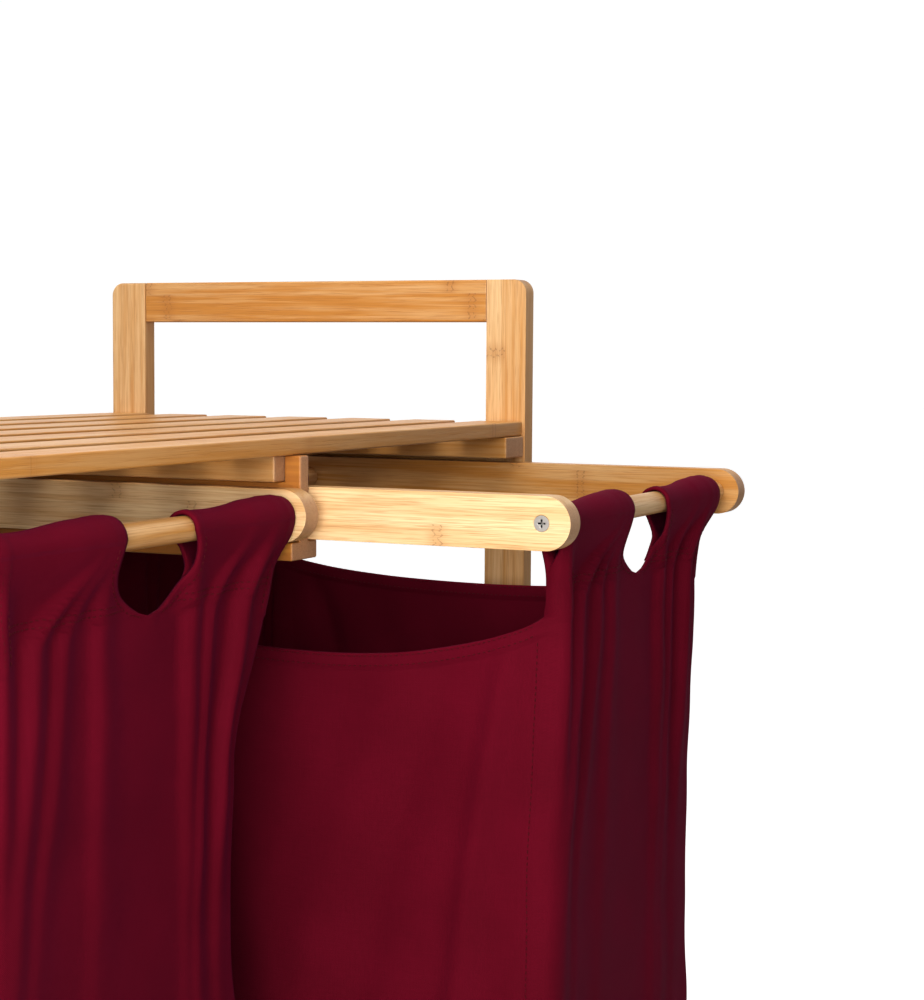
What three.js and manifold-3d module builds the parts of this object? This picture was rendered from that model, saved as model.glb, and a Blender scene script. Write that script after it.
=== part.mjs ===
// Laundry sorter on wheels: a bamboo cart with a slatted shelf and two pull-out
// frames, each holding a fabric bag on two dowels. Millimetres, +Z up.
// +X is the cart's right-hand side, -Y its front, and the wheels stand on z = 0.
// The right-hand frame is pulled out, the left-hand one is pushed home.
import * as THREE from 'three';
import Module from 'manifold-3d';
import { mergeVertices } from 'three/addons/utils/BufferGeometryUtils.js';

const wasm = await Module();
wasm.setup();

// ---- Driving dimensions -------------------------------------------------
const GAP = 0.3; // clearance left between pieces that touch
const OVERCUT = 1; // how far a cutting tool runs past the face it cuts
const ROUND_SIDES = 20; // sides of small round pieces and bores

// Cart frame
const WIDTH = 700;
const DEPTH = 368;
const HEIGHT = 800;
const STOCK = 14; // thickness of the frame's flat bars
const POST_DEPTH = 32;
const POST_BOTTOM = 65;
const POST_CORNER = 10; // radius of a post's outer top corner
const HANDLE_HEIGHT = 31.5;
const LOW_RAIL_BOTTOM = 92;
const LOW_RAIL_HEIGHT = 32;

// Slatted shelf
const HANDLE_TO_SHELF = 105.3;
const SLAT_COUNT = 7;
const SLAT_PITCH = 54.9;
const SLAT_WIDTH = 35;
const SLAT_THICKNESS = 10.5;
const SLAT_START = 2.1; // front edge of the first slat
const CLEAT_HEIGHT = 15.8;
const CLEAT_WIDTH = 31.8;
const CLEAT_START = 0.8;

// Pull-out frames
const RAIL_THICKNESS = 15;
const RAIL_HEIGHT = 31.4;
const RAIL_LENGTH = 362.4;
const RAIL_BELOW_CLEAT = 3.5;
const RAIL_SIDE_GAP = 2;
const PULLOUT_WIDTH = 328;
const PULLOUT_HOME = -15.6; // front tip of a rail that is pushed home
const RIGHT_PULLED = 155.3;
const DOWEL_INSET = 17.9;
const DOWEL_RADIUS = 7.25;
const DOWEL_SIDES = 40;
const RAIL_END_SEGMENTS = 26; // in each half-round end

// Runners that the rails slide on
const RUNNER_HEIGHT = 11;
const RUNNER_TONGUE = 2; // overlap that makes a runner one piece with its side rail
const RUNNER_GAP = 0.5;
const WEB_THICKNESS = 10;
const GUIDE_FRONT = -3;
const GUIDE_WIDTH = 30;
const GUIDE_NOTCH = 11.6; // the centre cleat starts this far behind the web
const STRETCHER_FRONT = 352;
const STRETCHER_HEIGHT = 46;

// Dowel screws
const SCREW_HEAD_RADIUS = 4.75;
const SCREW_SHANK_RADIUS = 2;
const SCREW_LENGTH = 38;
const SCREW_HOLE_RADIUS = 2.35;
const CROSS_SPAN = 4.7;
const CROSS_WIDTH = 1.1;
const CROSS_DEPTH = 1.7;
const SCREW_TIP = 4; // length of the pointed end
const SCREW_SUNK = 0.2; // how far the head lies below the rail's face
const PILOT_SPARE = 2; // how much deeper than the screw the dowel is drilled

// Bags
const CLOTH = 2.5;
const LOOP_CLEARANCE = 0.45;
const BAG_HALF_WIDTH = 146;
const BAG_DEPTH = 500; // from the dowels' axis to the underside
const LOOP_OUTER_END = 135;
const HAND_HOLE_HALF = 27.5;
const HAND_HOLE_DROP = 45;
const SIDE_TOP_AT_CORNER = -57;
const SIDE_TOP_AT_MIDDLE = -80;
const LOOP_SHOULDER = -10; // where a loop starts to widen into its panel

// Casters
const WHEEL_RADIUS = 25;
const WHEEL_SIDES = 24;
const WHEEL_WIDTH = 18;
const TRAIL = 18; // the axle's distance in front of the swivel axis
const AXLE_RADIUS = 3;
const BORE_CLEARANCE = 0.4;
const FORK_INNER = 11;
const FORK_PLATE = 2.5;
const BRIDGE_BOTTOM = 58;
const BRIDGE_THICKNESS = 3.5;
const FORK_BACK = 12;
const FORK_FRONT = -30;
const CHEEK_LIP = 3; // how far a cheek's straight edges reach below the bridge
const BOSS_RADIUS = 8; // round end of a cheek, about the axle
const LUG_RADIUS = 5; // round lug of a cheek, about the pedal's pivot
const STEM_RADIUS = 4;
const STEM_LENGTH = 22;
const FLANGE_RADIUS = 8;
const PIN_HEAD_RADIUS = 5;
const STEM_HEAD_THICKNESS = 1.8;
const AXLE_HEAD_THICKNESS = 2;
const TREAD_CHAMFER = 2;

// Brake pedals, drawn about their pivots
const LEVER_PIVOT = { trail: 38, z: 50 };
const LEVER_REACH = 26;
const LEVER_HUB_RADIUS = 4.5;
const LEVER_UNDERSIDE = -3.4; // of the tip
const LEVER_TIP = { reach: 1.5, z: 0.2 };
const LEVER_CLEARANCE = 1; // between the pedal and each cheek
const NOSE_CLEARANCE = 0.9; // between the pressed nose and the tread
const NOSE_SPREAD = 0.5; // radians on each side of the nose
const PIVOT_RADIUS = 2;

// ---- Derived places -----------------------------------------------------
const INNER = WIDTH / 2 - STOCK; // inner face of a side frame
const POST_CENTRE_X = WIDTH / 2 - STOCK / 2;
const SHELF_TOP = HEIGHT - HANDLE_TO_SHELF;
const SLAT_BOTTOM = SHELF_TOP - SLAT_THICKNESS;
const CLEAT_BOTTOM = SLAT_BOTTOM - CLEAT_HEIGHT;
const RAIL_TOP = CLEAT_BOTTOM - RAIL_BELOW_CLEAT;
const DOWEL_Z = RAIL_TOP - RAIL_HEIGHT / 2;
const RUNNER_TOP = RAIL_TOP - RAIL_HEIGHT - RUNNER_GAP;
const DOWEL_SPAN = RAIL_LENGTH - 2 * DOWEL_INSET;
const HOME_DOWEL_Y = PULLOUT_HOME + DOWEL_INSET;
const PULLOUT_CENTRE_X = INNER - RAIL_SIDE_GAP - PULLOUT_WIDTH / 2;
const REAR_POST_FRONT = DEPTH - POST_DEPTH;
const BRIDGE_TOP = BRIDGE_BOTTOM + BRIDGE_THICKNESS;
// The origin is the centre of the standing cart's box, so it lies midway between
// the pulled-out rails' tips and the back of the rear posts.
const ORIGIN_Y = (PULLOUT_HOME - RIGHT_PULLED + DEPTH) / 2;

// ---- Materials ----------------------------------------------------------
const bamboo = () => new THREE.MeshStandardMaterial({ color: 0xe3b06a, roughness: 0.45, metalness: 0 });
const cloth = () => new THREE.MeshStandardMaterial({ color: 0x6e0f24, roughness: 0.9, metalness: 0 });
const steel = () => new THREE.MeshStandardMaterial({ color: 0xb9babc, roughness: 0.3, metalness: 1 });
const tyre = () => new THREE.MeshStandardMaterial({ color: 0x3a3a3c, roughness: 0.7, metalness: 0 });
const pedal = () => new THREE.MeshStandardMaterial({ color: 0x1f1f21, roughness: 0.5, metalness: 0 });

// ---- Geometry helpers ---------------------------------------------------
function toSolid(geometry) {
  const plain = geometry.clone();
  plain.deleteAttribute('normal');
  plain.deleteAttribute('uv');
  const merged = mergeVertices(plain, 1e-4);
  const corners = merged.index.array;
  const whole = [];
  for (let at = 0; at < corners.length; at += 3) {
    const [a, b, c] = corners.slice(at, at + 3);
    if (a !== b && b !== c && c !== a) whole.push(a, b, c);
  }
  return new wasm.Manifold(new wasm.Mesh({
    numProp: 3,
    vertProperties: new Float32Array(merged.attributes.position.array),
    triVerts: new Uint32Array(whole),
  }));
}

function toGeometry(solid) {
  const mesh = solid.getMesh();
  const geometry = new THREE.BufferGeometry();
  geometry.setAttribute('position', new THREE.BufferAttribute(mesh.vertProperties, 3));
  geometry.setIndex(new THREE.BufferAttribute(mesh.triVerts, 1));
  geometry.computeVertexNormals();
  return geometry;
}

function join(first, ...others) {
  return toGeometry(others.reduce((sum, next) => sum.add(toSolid(next)), toSolid(first)));
}

function cut(body, ...tools) {
  return toGeometry(tools.reduce((rest, tool) => rest.subtract(toSolid(tool)), toSolid(body)));
}

function boxBetween(low, high) {
  const [dx, dy, dz] = high.map((value, axis) => value - low[axis]);
  const geometry = new THREE.BoxGeometry(dx, dy, dz);
  return geometry.translate(low[0] + dx / 2, low[1] + dy / 2, low[2] + dz / 2);
}

function prism(shape, length, curveSegments = 10) {
  return new THREE.ExtrudeGeometry(shape, { depth: length, bevelEnabled: false, curveSegments });
}

// A shape drawn in (y, z) and extruded along X from x = start.
function prismAlongX(shape, start, length, curveSegments) {
  const turn = new THREE.Matrix4().makeBasis(
    new THREE.Vector3(0, 1, 0),
    new THREE.Vector3(0, 0, 1),
    new THREE.Vector3(1, 0, 0),
  );
  return prism(shape, length, curveSegments).applyMatrix4(turn).translate(start, 0, 0);
}

// A shape drawn in (x, z) and extruded along Y from y = start.
function prismAlongY(shape, start, length, curveSegments) {
  return prism(shape, length, curveSegments).rotateX(Math.PI / 2).translate(0, start + length, 0);
}

// A profile of [radius, x] points turned about the X axis.
function turnedAboutX(profile, segments) {
  const points = profile.map(([radius, x]) => new THREE.Vector2(radius, x));
  return new THREE.LatheGeometry(points, segments).rotateZ(-Math.PI / 2);
}

// A profile of [radius, z] points turned about the Z axis.
function turnedAboutZ(profile, segments) {
  const points = profile.map(([radius, z]) => new THREE.Vector2(radius, z));
  return new THREE.LatheGeometry(points, segments).rotateX(Math.PI / 2);
}

function rodAlongX(radius, start, length) {
  const end = start + length;
  return turnedAboutX([[0, start], [radius, start], [radius, end], [0, end]], ROUND_SIDES);
}

function rodAlongZ(radius, start, end) {
  return turnedAboutZ([[0, start], [radius, start], [radius, end], [0, end]], ROUND_SIDES);
}

function piece(parent, name, geometry, material, x = 0, y = 0, z = 0) {
  const mesh = new THREE.Mesh(geometry, material);
  mesh.name = name;
  mesh.position.set(x, y, z);
  parent.add(mesh);
  return mesh;
}

function bar(parent, name, low, high) {
  const centre = low.map((value, axis) => (value + high[axis]) / 2);
  const geometry = new THREE.BoxGeometry(high[0] - low[0], high[1] - low[1], high[2] - low[2]);
  return piece(parent, name, geometry, bamboo(), ...centre);
}

// ---- Side frames --------------------------------------------------------
// A post is drawn with its outer edge at y = 0, where its top corner is rounded.
function postGeometry() {
  const outline = new THREE.Shape();
  outline.moveTo(0, POST_BOTTOM);
  outline.lineTo(POST_DEPTH, POST_BOTTOM);
  outline.lineTo(POST_DEPTH, HEIGHT);
  outline.lineTo(POST_CORNER, HEIGHT);
  outline.absarc(POST_CORNER, HEIGHT - POST_CORNER, POST_CORNER, Math.PI / 2, Math.PI, false);
  const solid = prismAlongX(outline, -STOCK / 2, STOCK);
  const boreTop = POST_BOTTOM + STEM_LENGTH + OVERCUT;
  const bore = rodAlongZ(STEM_RADIUS + BORE_CLEARANCE, POST_BOTTOM - OVERCUT, boreTop);
  return cut(solid, bore.translate(0, POST_DEPTH / 2, 0));
}

// A runner is an upright rail between the posts, in one piece with the ledge inside
// it that carries a pull-out frame's outer rail. Drawn for the right-hand side frame.
function runnerGeometry() {
  const foot = RUNNER_TOP - RUNNER_HEIGHT;
  const front = POST_DEPTH + GAP;
  const back = REAR_POST_FRONT - GAP;
  const ledge = boxBetween([INNER - GAP - STOCK, CLEAT_START, foot],
    [INNER - GAP, STRETCHER_FRONT - GAP, RUNNER_TOP]);
  const tongue = boxBetween([INNER - RUNNER_TONGUE, front, foot],
    [INNER + RUNNER_TONGUE, back, RUNNER_TOP]);
  const upright = boxBetween([INNER, front, foot], [INNER + STOCK, back, SLAT_BOTTOM - GAP]);
  return join(upright, tongue, ledge);
}

function sideFrame(parent, side, sign) {
  const x = sign * POST_CENTRE_X;
  piece(parent, `${side}_front_post`, postGeometry(), bamboo(), x, 0, 0);
  const rear = piece(parent, `${side}_rear_post`, postGeometry(), bamboo(), x, DEPTH, 0);
  rear.rotation.z = Math.PI;
  const low = [x - STOCK / 2, POST_DEPTH + GAP];
  const high = [x + STOCK / 2, REAR_POST_FRONT - GAP];
  bar(parent, `${side}_handle_rail`, [...low, HEIGHT - HANDLE_HEIGHT], [...high, HEIGHT]);
  bar(parent, `${side}_low_rail`, [...low, LOW_RAIL_BOTTOM], [...high, LOW_RAIL_BOTTOM + LOW_RAIL_HEIGHT]);
  const runner = piece(parent, `${side}_drawer_runner`, runnerGeometry(), bamboo());
  // The left-hand runner is the right-hand one turned end for end.
  if (sign < 0) {
    runner.rotation.z = Math.PI;
    runner.position.y = DEPTH;
  }
}

// ---- Shelf and cross members --------------------------------------------
function shelf(parent) {
  for (let index = 0; index < SLAT_COUNT; index += 1) {
    const y = SLAT_START + index * SLAT_PITCH;
    const low = [-INNER + GAP, y, SLAT_BOTTOM];
    const high = [INNER - GAP, y + SLAT_WIDTH, SHELF_TOP];
    bar(parent, `shelf_slat_${index + 1}`, low, high);
  }
  const top = SLAT_BOTTOM - GAP;
  const back = STRETCHER_FRONT - GAP;
  const outer = INNER - GAP;
  bar(parent, 'left_shelf_cleat', [-outer, CLEAT_START, CLEAT_BOTTOM], [-outer + CLEAT_WIDTH, back, top]);
  bar(parent, 'right_shelf_cleat', [outer - CLEAT_WIDTH, CLEAT_START, CLEAT_BOTTOM], [outer, back, top]);
  bar(parent, 'middle_shelf_cleat', [-CLEAT_WIDTH / 2, GUIDE_FRONT + GUIDE_NOTCH, CLEAT_BOTTOM],
    [CLEAT_WIDTH / 2, back, top]);
}

// The centre guide is an upright web between the two pull-out frames, with a foot
// that carries one rail of each. Its front end rises past the centre cleat.
function centreGuide(parent) {
  const back = STRETCHER_FRONT - GAP;
  const foot = RUNNER_TOP - RUNNER_HEIGHT;
  const outline = new THREE.Shape();
  outline.moveTo(GUIDE_FRONT, foot);
  outline.lineTo(back, foot);
  outline.lineTo(back, CLEAT_BOTTOM - GAP);
  outline.lineTo(GUIDE_FRONT + GUIDE_NOTCH - GAP, CLEAT_BOTTOM - GAP);
  outline.lineTo(GUIDE_FRONT + GUIDE_NOTCH - GAP, SLAT_BOTTOM - GAP);
  outline.lineTo(GUIDE_FRONT, SLAT_BOTTOM - GAP);
  const web = prismAlongX(outline, -WEB_THICKNESS / 2, WEB_THICKNESS);
  const sole = boxBetween([-GUIDE_WIDTH / 2, GUIDE_FRONT, foot], [GUIDE_WIDTH / 2, back, RUNNER_TOP]);
  piece(parent, 'centre_drawer_guide', join(web, sole), bamboo());
}

function stretchers(parent) {
  const reach = INNER - GAP;
  const lowTop = LOW_RAIL_BOTTOM + LOW_RAIL_HEIGHT;
  const inset = (POST_DEPTH - STOCK) / 2;
  bar(parent, 'upper_rear_stretcher', [-reach, STRETCHER_FRONT, SLAT_BOTTOM - GAP - STRETCHER_HEIGHT],
    [reach, STRETCHER_FRONT + STOCK, SLAT_BOTTOM - GAP]);
  bar(parent, 'lower_front_stretcher', [-reach, inset, LOW_RAIL_BOTTOM], [reach, inset + STOCK, lowTop]);
  bar(parent, 'lower_rear_stretcher', [-reach, DEPTH - inset - STOCK, LOW_RAIL_BOTTOM],
    [reach, DEPTH - inset, lowTop]);
}

// ---- Pull-out frames ----------------------------------------------------
// Each is built about its front dowel's axis, with x = 0 at its middle.

// A rail with round ends and two countersunk screw holes. Its outer face is at
// x = 0 and its inner face at x = RAIL_THICKNESS.
function railGeometry() {
  const radius = RAIL_HEIGHT / 2;
  const front = radius - DOWEL_INSET;
  const back = RAIL_LENGTH - DOWEL_INSET - radius;
  const outline = new THREE.Shape();
  outline.moveTo(front, -radius);
  outline.lineTo(back, -radius);
  outline.absarc(back, 0, radius, -Math.PI / 2, Math.PI / 2, false);
  outline.lineTo(front, radius);
  outline.absarc(front, 0, radius, Math.PI / 2, 3 * Math.PI / 2, false);
  const blank = prismAlongX(outline, 0, RAIL_THICKNESS, RAIL_END_SEGMENTS);
  const mouth = SCREW_HEAD_RADIUS + BORE_CLEARANCE;
  const far = RAIL_THICKNESS + OVERCUT;
  const hole = turnedAboutX([[0, -OVERCUT], [mouth + OVERCUT, -OVERCUT],
    [SCREW_HOLE_RADIUS, mouth - SCREW_HOLE_RADIUS], [SCREW_HOLE_RADIUS, far], [0, far]], ROUND_SIDES);
  return cut(blank, hole, hole.clone().translate(0, DOWEL_SPAN, 0));
}

function dowelGeometry() {
  const half = PULLOUT_WIDTH / 2 - RAIL_THICKNESS - GAP;
  const pilot = SCREW_LENGTH - RAIL_THICKNESS + PILOT_SPARE;
  return turnedAboutX([[0, -half + pilot], [SCREW_HOLE_RADIUS, -half + pilot], [SCREW_HOLE_RADIUS, -half],
    [DOWEL_RADIUS, -half], [DOWEL_RADIUS, half], [SCREW_HOLE_RADIUS, half],
    [SCREW_HOLE_RADIUS, half - pilot], [0, half - pilot]], DOWEL_SIDES);
}

// A countersunk wood screw with a cross recess, its head's face at x = 0.
function screwGeometry() {
  const cone = SCREW_HEAD_RADIUS - SCREW_SHANK_RADIUS;
  const body = turnedAboutX([[0, 0], [SCREW_HEAD_RADIUS, 0], [SCREW_SHANK_RADIUS, cone],
    [SCREW_SHANK_RADIUS, SCREW_LENGTH - SCREW_TIP], [0, SCREW_LENGTH]], ROUND_SIDES);
  const armLong = CROSS_SPAN / 2;
  const armShort = CROSS_WIDTH / 2;
  const upright = boxBetween([-OVERCUT, -armShort, -armLong], [CROSS_DEPTH, armShort, armLong]);
  const level = boxBetween([-OVERCUT, -armLong, -armShort], [CROSS_DEPTH, armLong, armShort]);
  return cut(body, upright, level);
}

// A bag's front or rear panel in (x, z), with a hand hole between its two loops.
function bagPanelShape() {
  const holeRadius = HAND_HOLE_HALF;
  const holeCentre = holeRadius - HAND_HOLE_DROP;
  const outline = new THREE.Shape();
  outline.moveTo(-BAG_HALF_WIDTH, -BAG_DEPTH);
  outline.lineTo(BAG_HALF_WIDTH, -BAG_DEPTH);
  outline.lineTo(BAG_HALF_WIDTH, SIDE_TOP_AT_CORNER);
  outline.lineTo(LOOP_OUTER_END, LOOP_SHOULDER);
  outline.lineTo(LOOP_OUTER_END, 0);
  outline.lineTo(holeRadius, 0);
  outline.lineTo(holeRadius, holeCentre);
  outline.absarc(0, holeCentre, holeRadius, 0, Math.PI, true);
  outline.lineTo(-holeRadius, 0);
  outline.lineTo(-LOOP_OUTER_END, 0);
  outline.lineTo(-LOOP_OUTER_END, LOOP_SHOULDER);
  outline.lineTo(-BAG_HALF_WIDTH, SIDE_TOP_AT_CORNER);
  return outline;
}

// A bag's side panel in (y, z), whose top edge sags between the dowels.
function bagSideShape(front, back) {
  const outline = new THREE.Shape();
  outline.moveTo(front, -BAG_DEPTH);
  outline.lineTo(back, -BAG_DEPTH);
  outline.lineTo(back, SIDE_TOP_AT_CORNER);
  const control = 2 * SIDE_TOP_AT_MIDDLE - SIDE_TOP_AT_CORNER;
  outline.quadraticCurveTo((front + back) / 2, control, front, SIDE_TOP_AT_CORNER);
  return outline;
}

function loopGeometry(start, end, y) {
  const inner = DOWEL_RADIUS + LOOP_CLEARANCE;
  const ring = new THREE.Shape().absarc(y, 0, inner + CLOTH, 0, 2 * Math.PI, false);
  ring.holes.push(new THREE.Path().absarc(y, 0, inner, 0, 2 * Math.PI, true));
  return prismAlongX(ring, start, end - start, 14);
}

function bagGeometry() {
  const reach = DOWEL_RADIUS + LOOP_CLEARANCE + CLOTH;
  const front = -reach;
  const back = DOWEL_SPAN + reach;
  const panel = bagPanelShape();
  const side = bagSideShape(front, back);
  const parts = [prismAlongY(panel, front, CLOTH), prismAlongY(panel, back - CLOTH, CLOTH)];
  parts.push(prismAlongX(side, -BAG_HALF_WIDTH, CLOTH, 12));
  parts.push(prismAlongX(side, BAG_HALF_WIDTH - CLOTH, CLOTH, 12));
  parts.push(boxBetween([-BAG_HALF_WIDTH, front, -BAG_DEPTH], [BAG_HALF_WIDTH, back, CLOTH - BAG_DEPTH]));
  for (const y of [0, DOWEL_SPAN]) {
    parts.push(loopGeometry(HAND_HOLE_HALF, LOOP_OUTER_END, y));
    parts.push(loopGeometry(-LOOP_OUTER_END, -HAND_HOLE_HALF, y));
  }
  return join(...parts);
}

function pullOut(parent, side, sign, pulled) {
  const group = new THREE.Group();
  group.position.set(sign * PULLOUT_CENTRE_X, HOME_DOWEL_Y - pulled, DOWEL_Z);
  parent.add(group);
  const half = PULLOUT_WIDTH / 2;
  for (const [place, facing] of [['outer', sign], ['inner', -sign]]) {
    const rail = piece(group, `${side}_drawer_${place}_rail`, railGeometry(), bamboo(), facing * half);
    // The rail is drawn with its outer face towards -X, so the +X one is turned over.
    if (facing > 0) {
      rail.rotation.z = Math.PI;
      rail.position.y = DOWEL_SPAN;
    }
    for (const [end, y] of [['front', 0], ['rear', DOWEL_SPAN]]) {
      const x = facing * (half - SCREW_SUNK);
      const screw = piece(group, `${side}_${end}_${place}_screw`, screwGeometry(), steel(), x, y);
      screw.rotation.z = facing > 0 ? Math.PI : 0;
    }
  }
  piece(group, `${side}_front_dowel`, dowelGeometry(), bamboo());
  piece(group, `${side}_rear_dowel`, dowelGeometry(), bamboo(), 0, DOWEL_SPAN, 0);
  piece(group, `${side}_laundry_bag`, bagGeometry(), cloth());
}

// ---- Casters ------------------------------------------------------------
// Each is built about its swivel axis, and its wheel trails towards -Y.
function stemGeometry() {
  const flangeBottom = BRIDGE_TOP + BORE_CLEARANCE;
  const flangeTop = POST_BOTTOM - GAP;
  const headTop = BRIDGE_BOTTOM - BORE_CLEARANCE;
  const headBottom = headTop - STEM_HEAD_THICKNESS;
  return turnedAboutZ([[0, headBottom], [PIN_HEAD_RADIUS, headBottom], [PIN_HEAD_RADIUS, headTop],
    [AXLE_RADIUS, headTop], [AXLE_RADIUS, flangeBottom], [FLANGE_RADIUS, flangeBottom],
    [FLANGE_RADIUS, flangeTop], [STEM_RADIUS, flangeTop], [STEM_RADIUS, flangeTop + STEM_LENGTH],
    [0, flangeTop + STEM_LENGTH]], ROUND_SIDES);
}

// One cheek of the fork in (y, z): from the bridge down to a round axle boss, and
// out to a round lug for the brake pedal's pivot on a braked caster.
function cheekShape(braked) {
  const axleY = -TRAIL;
  const lip = BRIDGE_BOTTOM - CHEEK_LIP;
  const outline = new THREE.Shape();
  outline.moveTo(FORK_BACK, BRIDGE_TOP);
  outline.lineTo(FORK_FRONT, BRIDGE_TOP);
  if (braked) {
    outline.absarc(-LEVER_PIVOT.trail, LEVER_PIVOT.z, LUG_RADIUS, Math.PI, 1.5 * Math.PI, false);
  } else {
    outline.lineTo(FORK_FRONT, lip);
  }
  outline.absarc(axleY, WHEEL_RADIUS, BOSS_RADIUS, Math.PI, 2 * Math.PI, false);
  outline.lineTo(FORK_BACK, lip);
  const axleHole = new THREE.Path();
  axleHole.absarc(axleY, WHEEL_RADIUS, AXLE_RADIUS + BORE_CLEARANCE, 0, 2 * Math.PI, true);
  outline.holes.push(axleHole);
  if (braked) {
    const pivotHole = new THREE.Path();
    const radius = PIVOT_RADIUS + BORE_CLEARANCE;
    pivotHole.absarc(-LEVER_PIVOT.trail, LEVER_PIVOT.z, radius, 0, 2 * Math.PI, true);
    outline.holes.push(pivotHole);
  }
  return outline;
}

function forkGeometry(braked) {
  const cheek = cheekShape(braked);
  const outer = FORK_INNER + FORK_PLATE;
  const bridge = boxBetween([-outer, FORK_FRONT, BRIDGE_BOTTOM], [outer, FORK_BACK, BRIDGE_TOP]);
  const left = prismAlongX(cheek, -outer, FORK_PLATE);
  const right = prismAlongX(cheek, FORK_INNER, FORK_PLATE);
  const hole = rodAlongZ(AXLE_RADIUS + BORE_CLEARANCE, BRIDGE_BOTTOM - OVERCUT, BRIDGE_TOP + OVERCUT);
  return cut(join(bridge, left, right), hole);
}

// The wheel stands on one of its flats, WHEEL_RADIUS below its axis.
function wheelGeometry() {
  const half = WHEEL_WIDTH / 2;
  const bore = AXLE_RADIUS + BORE_CLEARANCE;
  const rim = WHEEL_RADIUS / Math.cos(Math.PI / WHEEL_SIDES);
  const side = rim - TREAD_CHAMFER;
  const tread = half - TREAD_CHAMFER;
  const profile = [[bore, -half], [side, -half], [rim, -tread], [rim, tread], [side, half],
    [bore, half], [bore, -half]];
  return turnedAboutX(profile, WHEEL_SIDES).rotateX(Math.PI / WHEEL_SIDES);
}

function axleGeometry() {
  const inside = FORK_INNER + FORK_PLATE + BORE_CLEARANCE;
  const end = inside + AXLE_HEAD_THICKNESS;
  return turnedAboutX([[0, -end], [PIN_HEAD_RADIUS, -end], [PIN_HEAD_RADIUS, -inside],
    [AXLE_RADIUS, -inside], [AXLE_RADIUS, inside], [PIN_HEAD_RADIUS, inside],
    [PIN_HEAD_RADIUS, end], [0, end]], ROUND_SIDES);
}

// A foot pedal on a cross pin, with a nose that bears on the tread. It is drawn
// pressed down, about its pivot.
function leverGeometry() {
  const half = FORK_INNER - LEVER_CLEARANCE;
  const pinHalf = FORK_INNER + FORK_PLATE;
  const across = LEVER_PIVOT.trail - TRAIL;
  const down = WHEEL_RADIUS - LEVER_PIVOT.z;
  const towardsWheel = Math.atan2(down, across);
  const reach = Math.hypot(across, down) - WHEEL_RADIUS - NOSE_CLEARANCE;
  const underneath = -Math.PI / 2 - NOSE_SPREAD;
  const outline = new THREE.Shape();
  outline.absarc(0, 0, LEVER_HUB_RADIUS, Math.PI / 2, towardsWheel + NOSE_SPREAD, true);
  outline.lineTo(reach * Math.cos(towardsWheel), reach * Math.sin(towardsWheel));
  outline.absarc(0, 0, LEVER_HUB_RADIUS, towardsWheel - NOSE_SPREAD, underneath, true);
  outline.lineTo(-LEVER_REACH, LEVER_UNDERSIDE);
  outline.lineTo(-LEVER_REACH - LEVER_TIP.reach, LEVER_TIP.z);
  const arm = prismAlongX(outline, -half, 2 * half);
  return join(arm, rodAlongX(PIVOT_RADIUS, -pinHalf, 2 * pinHalf));
}

function caster(parent, place, x, y, braked) {
  const group = new THREE.Group();
  group.position.set(x, y, 0);
  parent.add(group);
  piece(group, `${place}_caster_stem`, stemGeometry(), steel());
  piece(group, `${place}_caster_fork`, forkGeometry(braked), steel());
  piece(group, `${place}_caster_wheel`, wheelGeometry(), tyre(), 0, -TRAIL, WHEEL_RADIUS);
  piece(group, `${place}_caster_axle`, axleGeometry(), steel(), 0, -TRAIL, WHEEL_RADIUS);
  if (braked) {
    piece(group, `${place}_brake_pedal`, leverGeometry(), pedal(), 0, -LEVER_PIVOT.trail, LEVER_PIVOT.z);
  }
}

// ---- Assembly -----------------------------------------------------------
const cart = new THREE.Group();
cart.position.y = -ORIGIN_Y;
for (const [side, sign] of [['left', -1], ['right', 1]]) {
  sideFrame(cart, side, sign);
  caster(cart, `${side}_front`, sign * POST_CENTRE_X, POST_DEPTH / 2, true);
  caster(cart, `${side}_rear`, sign * POST_CENTRE_X, DEPTH - POST_DEPTH / 2, false);
}
shelf(cart);
centreGuide(cart);
stretchers(cart);
pullOut(cart, 'left', -1, 0);
pullOut(cart, 'right', 1, RIGHT_PULLED);

const sorter = new THREE.Group();
sorter.add(cart);

export default sorter;
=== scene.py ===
"""Laundry sorter on wheels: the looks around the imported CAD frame.

Everything is in metres, in the CAD frame: X across the cart, -Y its front, +Z up.
A bag is laid out in its own frame: x across from the bag's middle, y back from
the front dowel's axis, z up from the dowels' axis.
"""
import math
import zlib

import bmesh
import bpy
import numpy as np
from mathutils import Matrix, Vector, noise


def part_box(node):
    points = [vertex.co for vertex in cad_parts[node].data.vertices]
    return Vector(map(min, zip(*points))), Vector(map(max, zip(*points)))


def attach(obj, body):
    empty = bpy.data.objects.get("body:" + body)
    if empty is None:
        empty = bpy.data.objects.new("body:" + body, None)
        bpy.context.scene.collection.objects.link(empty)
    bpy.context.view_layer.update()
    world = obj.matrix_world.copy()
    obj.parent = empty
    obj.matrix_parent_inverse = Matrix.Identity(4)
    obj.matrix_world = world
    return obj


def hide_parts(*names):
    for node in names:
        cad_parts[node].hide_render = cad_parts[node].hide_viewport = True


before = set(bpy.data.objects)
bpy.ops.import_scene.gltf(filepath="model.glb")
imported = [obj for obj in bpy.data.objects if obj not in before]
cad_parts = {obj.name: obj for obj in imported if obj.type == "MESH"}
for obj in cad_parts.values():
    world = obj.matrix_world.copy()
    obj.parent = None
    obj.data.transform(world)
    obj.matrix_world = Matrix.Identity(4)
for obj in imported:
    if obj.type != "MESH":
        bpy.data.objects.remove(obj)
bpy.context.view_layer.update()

MM = 0.001
SIDES = ("left", "right")
ENDS = ("front", "rear")
SAME_POINT = 0.00002  # points closer than this are joined


# ---------------------------------------------------------------- node helpers


def node_material(name):
    """A new node material, with its node tree and its Principled shader."""
    material = bpy.data.materials.new(name)
    material.use_nodes = True
    tree = material.node_tree
    return material, tree, tree.nodes["Principled BSDF"]


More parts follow.
